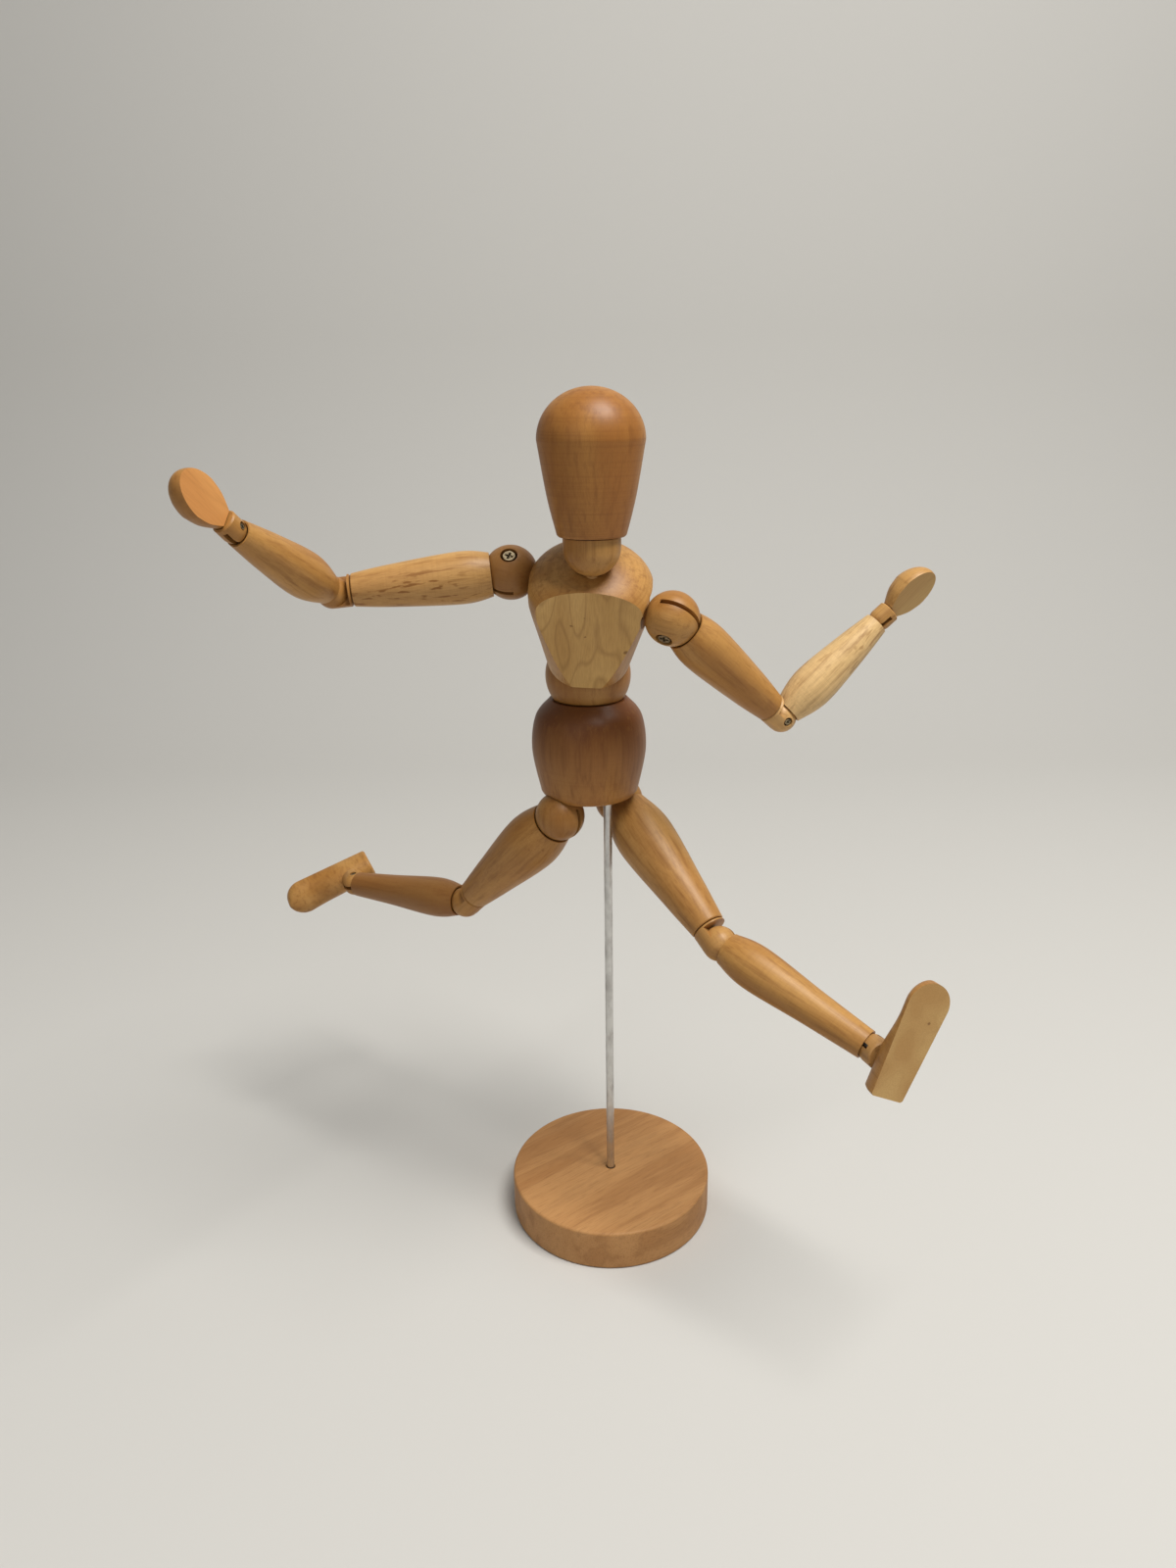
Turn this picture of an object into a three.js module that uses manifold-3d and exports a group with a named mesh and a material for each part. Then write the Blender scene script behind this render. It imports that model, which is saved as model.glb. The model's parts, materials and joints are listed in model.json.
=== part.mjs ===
// Jointed wooden drawing mannequin, caught in mid run on a steel rod and a round base.
// Millimetres, +Z up, the figure's front towards -Y, origin at the centre of the base's underside.
import * as THREE from 'three';
import { mergeVertices } from 'three/addons/utils/BufferGeometryUtils.js';
import Module from 'manifold-3d';

const wasm = await Module();
wasm.setup();

// Clearances between pieces that move or seat on each other
const gap = 0.3;
const shoulderClearance = 0.9;

// Stand
const base = { radius: 31.2, height: 12.7, edge: 0.8, rodDepth: 9 };
const rod = { radius: 1.2, free: 125.3, pelvisDepth: 14 };

// Torso pieces, all turned
const pelvis = {
  height: 28.7, bottomRadius: 14, bottomEdge: 3.2, widestRadius: 16.3, widestAt: 14,
  topRadius: 11.3, rodSetback: 8.4, hipSpacing: 21.6, hipDrop: 4.5,
};
const waist = { radius: 12, seatDrop: 6.4, flareRadius: 4.2, flareDepth: 2.5 };
const chest = {
  widestRadius: 16.3, widestAt: 33.8, crown: 8.5, cupAngle: 56, rimWall: 1.2,
  facetTop: 9.2, facetBottom: 10.7, shoulderAt: 31.3, shoulderReach: 22.2, neckSink: 1.5, funnelTop: 22,
};
const neck = { radius: 7.2, collar: 2.3 };
const head = { height: 34.6, bottomRadius: 8.6, widestRadius: 13.1, widestAt: 22.6, edge: 0.4 };

// Springs that string the torso together: coil radius to the wire's middle, wire radius, rise per turn
const waistSpring = {
  coil: 1.5, wire: 0.4, pitch: 3.6, pelvisDepth: 9, chestReach: 26, bendIn: 4, bendOut: 8,
};
const neckSpring = { coil: 1, wire: 0.3, pitch: 2.8, chestDepth: 6, headDepth: 8 };
const shoulderSpring = { coil: 1.2, wire: 0.4, pitch: 3.2, reach: 9.2 };
const springBore = { waist: 2.5, chest: 3, neck: 2, shoulder: 2.5 };

// Slotted knuckles: radius, hinge centre to flat face, spigot, the eye of the steel tab and the limb's cup.
// Elbows and knees are cut away on the inside of the bend, down to a lip at the flat face.
const kerf = 1.2;
const tabThickness = 0.6;
const knuckles = {
  shoulder: { radius: 7.1, flat: 0, spigot: 1.8, spigotLength: 5, eye: 3, screw: 'large', cupAngle: 46 },
  hip: { radius: 7.1, flat: 0, spigot: 2.2, spigotLength: 7, eye: 3, screw: 'large', cupAngle: 58 },
  elbow: {
    radius: 4.2, flat: 5, spigot: 1.6, spigotLength: 6, eye: 2.1, screw: 'small', cupAngle: 55, lip: 0.6,
  },
  knee: {
    radius: 4.9, flat: 5.6, spigot: 1.8, spigotLength: 7, eye: 2.4, screw: 'small', cupAngle: 58, lip: 0.6,
  },
  wrist: { radius: 3.1, flat: 3.4, spigot: 0.8, spigotLength: 4, eye: 1.6, screw: 'fine', cupAngle: 60 },
  ankle: { radius: 3.9, flat: 4.2, spigot: 1.4, spigotLength: 4, eye: 1.9, screw: 'fine', cupAngle: 60 },
};
const screws = {
  large: { head: 1.95, headHeight: 1.2, shank: 0.9, recess: 0.8, endWall: 1.6 },
  small: { head: 1, headHeight: 0.7, shank: 0.6, recess: 0.5, endWall: 1.2 },
  fine: { head: 0.85, headHeight: 0.6, shank: 0.5, recess: 0.4, endWall: 0.9 },
};
// Joints whose screw was driven from the other side
const turnedScrews = ['left_knee', 'left_wrist'];
const rimWall = 0.4;
const tabDepth = 9;

// Turned limbs: joint centre to joint centre, then radii and where the belly of the limb lies
const limbs = {
  upperArm: { length: 46.5, belly: 6.8, bellyAt: 13, shank: 5.5, shankAt: 31, end: 4.3 },
  forearm: { length: 38, belly: 6, bellyAt: 11.5, shank: 4.9, shankAt: 25 },
  thigh: { length: 54, belly: 8.6, bellyAt: 15, shank: 6.6, shankAt: 35, end: 5 },
  calf: { length: 49.5, belly: 6.3, bellyAt: 12, shank: 5, shankAt: 31 },
};
const hand = { length: 18.6, wristRadius: 2.6, belly: 5.6, bellyAt: 10.8, palm: 1.4 };
const foot = { length: 31, heel: 7.6, width: 12, heelWidth: 9, height: 7.4, toeHeight: 4.4 };

// The pose, in degrees: swivels turn about a spigot, bends about a screw
const pose = {
  pelvisTurn: 38, waistTurn: -41, waistLean: 36, waistTilt: 4,
  neckNod: -36, neckTilt: -3, headTurn: 3, shoulderTwist: -18,
  rightArm: { rootSwivel: -6, rootBend: 28, midSwivel: 78, midBend: 66, endBend: 15, endSwivel: -10 },
  leftArm: { rootSwivel: -79, rootBend: -46, midSwivel: -57, midBend: 84, endBend: 4, endSwivel: 108 },
  rightLeg: { rootSwivel: -16, rootBend: 46, midSwivel: -6, midBend: 38, endBend: 37, endSwivel: -103 },
  leftLeg: { rootSwivel: 1, rootBend: -57, midSwivel: 143, midBend: 20, endBend: 38, endSwivel: 8 },
};

// Facets
const limbSides = 14;
const ballSides = 16;
const torsoSides = 24;
const screwSides = 8;
const arcSteps = 4;
const wireSides = 5;
const wireSteps = 8;

const wood = new THREE.MeshStandardMaterial({ color: 0xc18a4e, roughness: 0.5, metalness: 0 });
const darkWood = new THREE.MeshStandardMaterial({ color: 0x8a5a33, roughness: 0.45, metalness: 0 });
const standWood = new THREE.MeshStandardMaterial({ color: 0xa9744a, roughness: 0.6, metalness: 0 });
const steel = new THREE.MeshStandardMaterial({ color: 0xb9b9b6, roughness: 0.35, metalness: 1 });
const screwSteel = new THREE.MeshStandardMaterial({ color: 0xb5a98c, roughness: 0.4, metalness: 1 });

const rad = THREE.MathUtils.degToRad;
const point = (radius, height) => new THREE.Vector2(radius, height);
// Shapes are drawn flat: x to Y, y to Z and the extrusion to X
const acrossX = new THREE.Matrix4().makeBasis(
  new THREE.Vector3(0, 1, 0), new THREE.Vector3(0, 0, 1), new THREE.Vector3(1, 0, 0));

// A closed geometry as a solid that can be joined and cut
function solid(geometry) {
  const bare = geometry.clone();
  bare.deleteAttribute('normal');
  bare.deleteAttribute('uv');
  const merged = mergeVertices(bare, 1e-4);
  const corners = merged.index.array;
  const triangles = [];
  for (let i = 0; i < corners.length; i += 3) {
    const [a, b, c] = corners.slice(i, i + 3);
    if (a !== b && b !== c && c !== a) triangles.push(a, b, c);
  }
  return new wasm.Manifold(new wasm.Mesh({
    numProp: 3,
    vertProperties: new Float32Array(merged.attributes.position.array),
    triVerts: new Uint32Array(triangles),
  }));
}

function piece(name, body, material) {
  const { vertProperties, triVerts } = body.getMesh();
  const geometry = new THREE.BufferGeometry();
  geometry.setAttribute('position', new THREE.BufferAttribute(vertProperties, 3));
  geometry.setIndex(new THREE.BufferAttribute(triVerts, 1));
  geometry.computeVertexNormals();
  const made = new THREE.Mesh(geometry, material);
  made.name = name;
  return made;
}

// A turned piece: the profile starts and ends on the axis, which becomes Z
function turned(profile, sides) {
  return solid(new THREE.LatheGeometry(profile, sides).rotateX(Math.PI / 2));
}

function box(width, depth, height, x, y, z) {
  return solid(new THREE.BoxGeometry(width, depth, height).translate(x, y, z));
}

function ball(radius, sides, x, y, z) {
  return solid(new THREE.SphereGeometry(radius, sides, sides / 2).rotateX(Math.PI / 2).translate(x, y, z));
}

function drilled(radius, from, to, sides) {
  return turned([point(0, from), point(radius, from), point(radius, to), point(0, to)], sides);
}

// Part of a circle about a point on the axis, angles in degrees from +Z
function arc(radius, centre, from, to, steps = arcSteps) {
  return Array.from({ length: steps + 1 }, (_, i) => {
    const angle = rad(from + (to - from) * i / steps);
    return point(radius * Math.sin(angle), centre + radius * Math.cos(angle));
  });
}

function smooth(points, steps) {
  return new THREE.SplineCurve(points).getPoints(steps);
}

function joint(parent, name, axis, degrees) {
  const group = new THREE.Group();
  group.name = name;
  group.rotation[axis] = rad(degrees);
  parent.add(group);
  return group;
}

// A coil spring along a curve in the YZ plane or along X, as one unbroken wire
function coilSpring(name, curve, { coil, wire, pitch }) {
  const turns = Math.round(curve.getLength() / pitch);
  const steps = turns * wireSteps;
  const across = new THREE.Vector3(1, 0, 0);
  const centres = Array.from({ length: steps + 1 }, (_, i) => {
    const along = curve.getTangentAt(i / steps);
    const side = Math.abs(along.x) > 0.9 ? new THREE.Vector3(0, 1, 0) : across;
    const up = new THREE.Vector3().crossVectors(along, side).normalize();
    const angle = 2 * Math.PI * i / wireSteps;
    return curve.getPointAt(i / steps)
      .addScaledVector(side, coil * Math.cos(angle)).addScaledVector(up, coil * Math.sin(angle));
  });
  let least = Infinity;
  for (let i = 0; i < centres.length; i += 1) {
    for (let j = i + wireSteps / 2; j < centres.length; j += 1) {
      least = Math.min(least, centres[i].distanceTo(centres[j]) - 2 * wire);
    }
  }
  console.log(`${name}: ${turns} turns, least gap to itself ${least.toFixed(2)} mm`);
  const section = new THREE.Shape(Array.from({ length: wireSides }, (_, i) => {
    const angle = 2 * Math.PI * i / wireSides;
    return new THREE.Vector2(wire * Math.cos(angle), wire * Math.sin(angle));
  }));
  const path = new THREE.CatmullRomCurve3(centres);
  return piece(name, solid(new THREE.ExtrudeGeometry(section, { steps, extrudePath: path })), steel);
}

// The hinge screw lies along X, its head sunk in a counterbore on the +X side unless it is turned
function screwSeat({ radius, screw }) {
  const { head: headRadius, recess, headHeight } = screws[screw];
  const counterbore = headRadius + gap;
  return Math.sqrt(radius ** 2 - counterbore ** 2) - recess - headHeight;
}

function screwPiece(name, knuckle, isTurned) {
  const { head: headRadius, headHeight, shank, endWall } = screws[knuckle.screw];
  const seat = screwSeat(knuckle);
  const tip = -(knuckle.radius - endWall);
  const body = turned([
    point(0, tip), point(shank * 0.5, tip), point(shank, tip + shank), point(shank, seat),
    point(headRadius, seat), point(headRadius, seat + headHeight * 0.7),
    point(headRadius * 0.75, seat + headHeight), point(0, seat + headHeight),
  ], screwSides);
  const made = piece(name, body, screwSteel);
  made.rotation.y = isTurned ? -Math.PI / 2 : Math.PI / 2;
  return made;
}

// A wooden knuckle with its saw kerf in the YZ plane, open towards +Z, and its spigot towards -Z
function knucklePiece(name, knuckle, isTurned) {
  const { radius, flat, spigot, spigotLength, eye, screw, lip } = knuckle;
  const { head: headRadius, shank, endWall } = screws[screw];
  const neckHeight = flat || Math.sqrt(radius ** 2 - spigot ** 2);
  const spigotEnd = flat ? flat + spigotLength : radius + spigotLength;
  const shoulderArc = flat
    ? [point(radius, -flat), ...arc(radius, 0, 90, 0, arcSteps)]
    : arc(radius, 0, 180 - THREE.MathUtils.radToDeg(Math.asin(spigot / radius)), 0, 2 * arcSteps);
  const start = flat ? [point(spigot, -neckHeight)] : [];
  let body = turned([point(0, -spigotEnd), point(spigot, -spigotEnd), ...start, ...shoulderArc], ballSides);
  const floor = -(eye + gap);
  const top = radius + 1;
  if (lip) {
    const depth = flat - lip;
    const inside = box(2 * top, top, depth, 0, -top / 2, -depth / 2);
    body = body.subtract(inside.subtract(ball(radius, ballSides, 0, 0, 0)));
  }
  body = body.subtract(box(kerf, 2 * top, top - floor, 0, 0, (top + floor) / 2));
  const seat = screwSeat(knuckle) - gap;
  const hole = turned([
    point(0, -(radius - endWall + gap)), point(shank + gap, -(radius - endWall + gap)),
    point(shank + gap, seat), point(headRadius + gap, seat), point(headRadius + gap, top), point(0, top),
  ], screwSides);
  return piece(name, body.subtract(hole.rotate([0, isTurned ? -90 : 90, 0])), wood);
}

// The flat steel tab that hinges on the screw; its stem is let into the limb along +Z
function tabShape(knuckle) {
  const { radius, eye } = knuckle;
  return { halfWidth: eye * 0.7, reach: radius + tabDepth };
}

function tabPiece(name, knuckle) {
  const { eye, screw } = knuckle;
  const { halfWidth, reach } = tabShape(knuckle);
  const lift = Math.asin(halfWidth / eye);
  const outline = new THREE.Shape();
  outline.moveTo(halfWidth, reach);
  outline.lineTo(-halfWidth, reach);
  outline.absarc(0, 0, eye, Math.PI / 2 + lift, Math.PI * 5 / 2 - lift, false);
  outline.closePath();
  const hole = new THREE.Path();
  hole.absarc(0, 0, screws[screw].shank + gap, 0, 2 * Math.PI, true);
  outline.holes.push(hole);
  const thickness = { depth: tabThickness, bevelEnabled: false, curveSegments: 8 };
  const plate = new THREE.ExtrudeGeometry(outline, thickness);
  plate.translate(0, 0, -tabThickness / 2).applyMatrix4(acrossX);
  return piece(name, solid(plate), steel);
}

// The slot in a limb for a tab whose hinge lies at height z; direction 1 runs up from it, -1 down
function tabSlot(knuckle, z, direction, turn) {
  const { halfWidth, reach } = tabShape(knuckle);
  const length = reach + gap;
  const slot = box(tabThickness + 2 * gap, 2 * (halfWidth + gap), length, 0, 0, direction * length / 2);
  return slot.rotate([0, 0, turn]).translate([0, 0, z]);
}

// The cup at a limb's end, from the axis out to its rim, about a hinge centre at height z
function cup(knuckle, z, direction) {
  const { radius, cupAngle } = knuckle;
  const points = arc(radius + gap, 0, 0, cupAngle);
  points.forEach((p) => p.set(p.x, z + direction * p.y));
  return points;
}

function rim(knuckle, z, direction) {
  const [last] = cup(knuckle, z, direction).slice(-1);
  return point(last.x + rimWall, last.y);
}

// A limb between a knuckle that it hinges on and a knuckle that swivels in its end
function firstLimb(name, { length, belly, bellyAt, shank, shankAt, end }, near, far) {
  const endAt = length - far.flat - gap;
  const boreRadius = far.spigot + gap;
  const boreFloor = endAt - far.spigotLength - gap;
  const outside = smooth([
    rim(near, 0, 1), point(belly, bellyAt), point(shank, shankAt), point(end, endAt)], 7);
  const body = turned([
    ...cup(near, 0, 1), ...outside,
    point(boreRadius, endAt), point(boreRadius, boreFloor), point(0, boreFloor),
  ], limbSides);
  return piece(name, body.subtract(tabSlot(near, 0, 1, 0)), wood);
}

// A limb that hinges at both ends, its two tabs square to each other
function secondLimb(name, { length, belly, bellyAt, shank, shankAt }, near, far) {
  const outside = smooth([
    rim(near, 0, 1), point(belly, bellyAt), point(shank, shankAt), rim(far, length, -1)], 7);
  const body = turned([...cup(near, 0, 1), ...outside, ...cup(far, length, -1).reverse()], limbSides);
  return piece(name, body.subtract(tabSlot(near, 0, 1, 0)).subtract(tabSlot(far, length, -1, 90)), wood);
}

// A turned spindle with one side sawn flat for the palm, on the -Y side
function handPiece(name, wrist) {
  const { length, wristRadius, belly, bellyAt, palm } = hand;
  const start = wrist.flat + gap;
  const boreRadius = wrist.spigot + gap;
  const boreFloor = start + wrist.spigotLength + gap;
  const heel = smooth([
    point(wristRadius, start), point(belly * 0.84, (start + bellyAt) / 2), point(belly, bellyAt)], 4);
  const fingers = [1, 2, 3, 4].map((step) => {
    const angle = Math.PI / 2 * step / 4;
    return point(step < 4 ? belly * Math.cos(angle) : 0, bellyAt + (length - bellyAt) * Math.sin(angle));
  });
  const body = turned([
    point(0, boreFloor), point(boreRadius, boreFloor), point(boreRadius, start), ...heel, ...fingers,
  ], limbSides);
  const sawn = box(4 * belly, belly, 2 * length, 0, -palm - belly / 2, 0);
  return piece(name, body.subtract(sawn), wood);
}

// A foot with its ankle face at the top (-Z side), flat sole at +Z and toe towards -Y
function footPiece(name, ankle) {
  const { length, heel, width, heelWidth, height, toeHeight } = foot;
  const top = ankle.flat + gap;
  const sole = top + height;
  const toe = heel - length;
  const plan = new THREE.Shape();
  plan.moveTo(-heelWidth / 2, heel);
  plan.lineTo(heelWidth / 2, heel);
  plan.lineTo(width / 2, toe + width / 2);
  plan.absarc(0, toe + width / 2, width / 2, 0, -Math.PI, true);
  plan.closePath();
  const outline = new THREE.ExtrudeGeometry(plan, { depth: height, bevelEnabled: false, curveSegments: 10 });
  const side = new THREE.Shape();
  const instep = ankle.radius + 1;
  side.moveTo(heel + 1, top);
  side.lineTo(heel + 1, sole);
  side.lineTo(toe - 1, sole);
  side.lineTo(toe - 1, sole - toeHeight * 0.5);
  side.quadraticCurveTo(toe + 1, sole - toeHeight, toe + width / 2, sole - toeHeight);
  side.bezierCurveTo(-width, sole - toeHeight, -width * 0.8, top, -instep, top);
  side.closePath();
  const flank = new THREE.ExtrudeGeometry(side, { depth: width + 2, bevelEnabled: false, curveSegments: 5 });
  flank.translate(0, 0, -width / 2 - 1).applyMatrix4(acrossX);
  const domeRadius = width * 0.62;
  const dome = new THREE.CylinderGeometry(domeRadius, domeRadius, 3 * length, 20)
    .translate(0, 0, top + domeRadius);
  const bore = drilled(ankle.spigot + gap, top - 1, top + ankle.spigotLength + gap, screwSides);
  const shaped = solid(outline.translate(0, 0, top)).intersect(solid(flank)).intersect(solid(dome));
  return piece(name, shaped.subtract(bore), wood);
}

// A whole arm or leg, hung on a group whose +Z runs out of the body along the root spigot
function limb(parent, side, names, angles) {
  const [rootName, firstName, midName, secondName, endName, lastName] = names;
  const [root, mid, end] = [knuckles[rootName], knuckles[midName], knuckles[endName]];
  const first = firstName === 'upper_arm' ? limbs.upperArm : limbs.thigh;
  const second = firstName === 'upper_arm' ? limbs.forearm : limbs.calf;
  const label = (name) => `${side}_${name}`;
  const isTurned = (name) => turnedScrews.includes(label(name));
  const rootTurn = joint(parent, label(`${rootName}_swivel`), 'z', angles.rootSwivel);
  rootTurn.add(knucklePiece(label(`${rootName}_ball`), root), screwPiece(label(`${rootName}_screw`), root));
  const firstTurn = joint(rootTurn, label(`${rootName}_bend`), 'x', angles.rootBend);
  firstTurn.add(firstLimb(label(firstName), first, root, mid), tabPiece(label(`${rootName}_tab`), root));
  const midTurn = joint(firstTurn, label(`${midName}_swivel`), 'z', angles.midSwivel);
  midTurn.position.z = first.length;
  midTurn.add(knucklePiece(label(`${midName}_knuckle`), mid, isTurned(midName)),
    screwPiece(label(`${midName}_screw`), mid, isTurned(midName)));
  const secondTurn = joint(midTurn, label(`${midName}_bend`), 'x', angles.midBend);
  secondTurn.add(secondLimb(label(secondName), second, mid, end), tabPiece(label(`${midName}_tab`), mid));
  const endTab = tabPiece(label(`${endName}_tab`), end);
  endTab.position.z = second.length;
  endTab.rotation.set(Math.PI, 0, Math.PI / 2);
  secondTurn.add(endTab);
  const endTurn = joint(secondTurn, label(`${endName}_bend`), 'y', angles.endBend);
  endTurn.position.z = second.length;
  const endKnuckle = new THREE.Group();
  endKnuckle.rotation.set(Math.PI, 0, Math.PI / 2);
  endKnuckle.add(knucklePiece(label(`${endName}_knuckle`), end, isTurned(endName)),
    screwPiece(label(`${endName}_screw`), end, isTurned(endName)));
  endTurn.add(endKnuckle);
  const lastTurn = joint(endTurn, label(`${endName}_swivel`), 'z', angles.endSwivel);
  lastTurn.add(lastName === 'hand' ? handPiece(label(lastName), end) : footPiece(label(lastName), end));
}

const figure = new THREE.Group();

// Stand: a round block with a blind hole, and the rod that the pelvis sits on
const rodHole = rod.radius + gap;
const rodFoot = base.height - base.rodDepth;
figure.add(piece('base', turned([
  point(0, 0), point(base.radius - base.edge, 0), point(base.radius, base.edge),
  point(base.radius, base.height - base.edge), point(base.radius - base.edge, base.height),
  point(rodHole, base.height), point(rodHole, rodFoot), point(0, rodFoot),
], 2 * torsoSides), standWood));
const pelvisFloor = base.height + rod.free;
figure.add(piece('rod', drilled(rod.radius, rodFoot + gap, pelvisFloor + rod.pelvisDepth, 12), steel));

// Pelvis: turns on the rod, which stands in front of its own axis
const pelvisTurn = joint(figure, 'pelvis_turn', 'z', pose.pelvisTurn);
pelvisTurn.position.z = pelvisFloor;
const pelvisAxis = new THREE.Group();
pelvisAxis.position.y = pelvis.rodSetback;
pelvisTurn.add(pelvisAxis);
const pelvisOutside = smooth([
  point(pelvis.bottomRadius, pelvis.bottomEdge * 0.6), point(pelvis.widestRadius, pelvis.widestAt),
  point(pelvis.widestRadius * 0.93, (pelvis.widestAt + pelvis.height) * 0.55),
  point(pelvis.topRadius, pelvis.height),
], 10);
let pelvisBody = turned([
  point(0, 0), point(pelvis.bottomRadius - pelvis.bottomEdge, 0),
  point(pelvis.bottomRadius - pelvis.bottomEdge * 0.35, pelvis.bottomEdge * 0.15), ...pelvisOutside,
  point(springBore.waist, pelvis.height),
  point(springBore.waist, pelvis.height - waistSpring.pelvisDepth - gap),
  point(0, pelvis.height - waistSpring.pelvisDepth - gap),
], torsoSides);
pelvisBody = pelvisBody.subtract(
  drilled(rodHole, -1, rod.pelvisDepth + gap, 12).translate([0, -pelvis.rodSetback, 0]));
const hip = knuckles.hip;
const legs = { right: -pelvis.hipSpacing / 2, left: pelvis.hipSpacing / 2 };
for (const x of Object.values(legs)) {
  const boreTop = hip.radius - pelvis.hipDrop + hip.spigotLength + gap;
  const bore = drilled(hip.spigot + gap, -pelvis.hipDrop, boreTop, 12);
  pelvisBody = pelvisBody.subtract(ball(hip.radius + gap, ballSides, x, 0, -pelvis.hipDrop))
    .subtract(bore.translate([x, 0, 0]));
}
pelvisAxis.add(piece('pelvis', pelvisBody, darkWood));

// Waist: a turned ball with a flat underside, which the chest rocks on
const waistTurn = joint(pelvisAxis, 'waist_turn', 'z', pose.waistTurn);
waistTurn.position.z = pelvis.height + gap + waist.seatDrop;
const waistTop = THREE.MathUtils.radToDeg(Math.asin(waist.flareRadius / waist.radius));
const waistFoot = THREE.MathUtils.radToDeg(Math.acos(-waist.seatDrop / waist.radius));
const waistArc = arc(waist.radius, 0, waistFoot, waistTop, 8);
waistTurn.add(piece('waist', turned([
  point(springBore.waist, -waist.seatDrop), ...waistArc,
  point(springBore.waist, waistArc.at(-1).y - waist.flareDepth), point(springBore.waist, -waist.seatDrop),
], torsoSides), wood));
const waistLean = joint(waistTurn, 'waist_lean', 'x', pose.waistLean);
const chestTurn = joint(waistLean, 'waist_tilt', 'y', pose.waistTilt);

// Chest: an egg with a flat sawn on its front, cupped below for the waist and above for the neck
const cupFlare = arc(waist.radius + gap, 0, chest.cupAngle - 6, chest.cupAngle, 1);
const cupRim = cupFlare[1];
const crownTop = chest.widestAt + chest.crown;
const neckAt = crownTop - chest.neckSink + neck.radius;
const seatRadius = neck.radius + gap;
const seatFloor = neckAt - Math.sqrt(seatRadius ** 2 - springBore.neck ** 2);
const seatAngle = 180 - THREE.MathUtils.radToDeg(Math.acos((neckAt - crownTop) / seatRadius)) + 3;
const crownArc = Array.from({ length: 6 }, (_, i) => {
  const angle = Math.PI / 2 * i / 6;
  return point(chest.widestRadius * Math.cos(angle), chest.widestAt + chest.crown * Math.sin(angle));
});
const chestSide = smooth([
  point(cupRim.x + chest.rimWall, cupRim.y),
  point((cupRim.x + chest.rimWall + chest.widestRadius) / 2, cupRim.y * 0.55 + chest.widestAt * 0.45),
  point(chest.widestRadius * 0.985, chest.widestAt * 0.88), crownArc[0]], 7);
const seatArc = arc(seatRadius, neckAt, seatAngle, 180 - THREE.MathUtils.radToDeg(
  Math.asin(springBore.neck / seatRadius)), 3);
const chestBore = waistSpring.chestReach + gap;
const neckBore = seatFloor - neckSpring.chestDepth - gap;
let chestBody = turned([
  point(0, chestBore), point(springBore.chest, chestBore), point(springBore.chest, chest.funnelTop),
  ...cupFlare, ...chestSide, ...crownArc.slice(1), ...seatArc,
  point(springBore.neck, neckBore), point(0, neckBore),
], torsoSides);
const facetHeight = chest.widestAt - cupRim.y;
const facetTilt = THREE.MathUtils.radToDeg(Math.atan((chest.facetBottom - chest.facetTop) / facetHeight));
const facetBlock = box(3 * chest.widestRadius, chest.widestRadius, 4 * chest.widestRadius,
  0, -chest.widestRadius / 2, 0).rotate([-facetTilt, 0, 0]);
chestBody = chestBody.subtract(facetBlock.translate([0, -chest.facetTop, chest.widestAt]));
const shoulder = knuckles.shoulder;
for (const side of [-1, 1]) {
  for (const swing of [-20, -10, 0]) {
    const [x, y] = [Math.cos(rad(swing)), Math.sin(rad(swing))].map((v) => side * chest.shoulderReach * v);
    chestBody = chestBody.subtract(
      ball(shoulder.radius + shoulderClearance, ballSides, x, y, chest.shoulderAt));
    const bore = drilled(springBore.shoulder, 0, chest.widestRadius, 10).rotate([0, side * 90, 0]);
    chestBody = chestBody.subtract(bore.rotate([0, 0, swing]).translate([0, 0, chest.shoulderAt]));
  }
}
chestTurn.add(piece('chest', chestBody, wood));

// Waist spring: up out of the pelvis, through the waist, then bending over into the chest
const upright = (height) => new THREE.Vector3(0, 0, height);
const waistRock = new THREE.Euler(rad(pose.waistLean), rad(pose.waistTilt), 0);
const waistPath = new THREE.CurvePath();
const bendFrom = waistArc.at(-1).y - waist.flareDepth;
waistPath.add(new THREE.LineCurve3(upright(-waist.seatDrop - waistSpring.pelvisDepth), upright(bendFrom)));
waistPath.add(new THREE.CubicBezierCurve3(
  upright(bendFrom), upright(bendFrom + waistSpring.bendIn),
  upright(waistSpring.chestReach - waistSpring.bendOut).applyEuler(waistRock),
  upright(waistSpring.chestReach).applyEuler(waistRock)));
const waistCoil = coilSpring('waist_spring', waistPath, waistSpring);
waistCoil.rotation.x = -rad(pose.waistLean);
waistLean.add(waistCoil);

// Shoulder spring: straight across the chest, a ball on each end
const shoulderTwist = joint(chestTurn, 'shoulder_twist', 'z', pose.shoulderTwist);
shoulderTwist.position.z = chest.shoulderAt;
const shoulderLine = new THREE.LineCurve3(
  new THREE.Vector3(-shoulderSpring.reach, 0, 0), new THREE.Vector3(shoulderSpring.reach, 0, 0));
shoulderTwist.add(coilSpring('shoulder_spring', shoulderLine, shoulderSpring));

// Neck and head: the neck rocks in the chest's seat and the head turns on it
const neckNod = joint(chestTurn, 'neck_nod', 'x', pose.neckNod);
neckNod.position.z = neckAt;
const neckTilt = joint(neckNod, 'neck_tilt', 'y', pose.neckTilt);
let neckBody = turned([
  ...arc(neck.radius, 0, 180, 90, 6), point(neck.radius, neck.collar), point(0, neck.collar),
], torsoSides);
neckBody = neckBody.subtract(drilled(springBore.neck, 0, neck.collar + 1, 12));
for (const swing of [1, 2 / 3, 1 / 3]) {
  neckBody = neckBody.subtract(
    drilled(springBore.neck, -2 * neck.radius, 1, 12).rotate([-pose.neckNod * swing, 0, 0]));
}
neckTilt.add(piece('neck', neckBody, wood));
const neckRock = new THREE.Euler(rad(pose.neckNod), rad(pose.neckTilt), 0);
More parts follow.
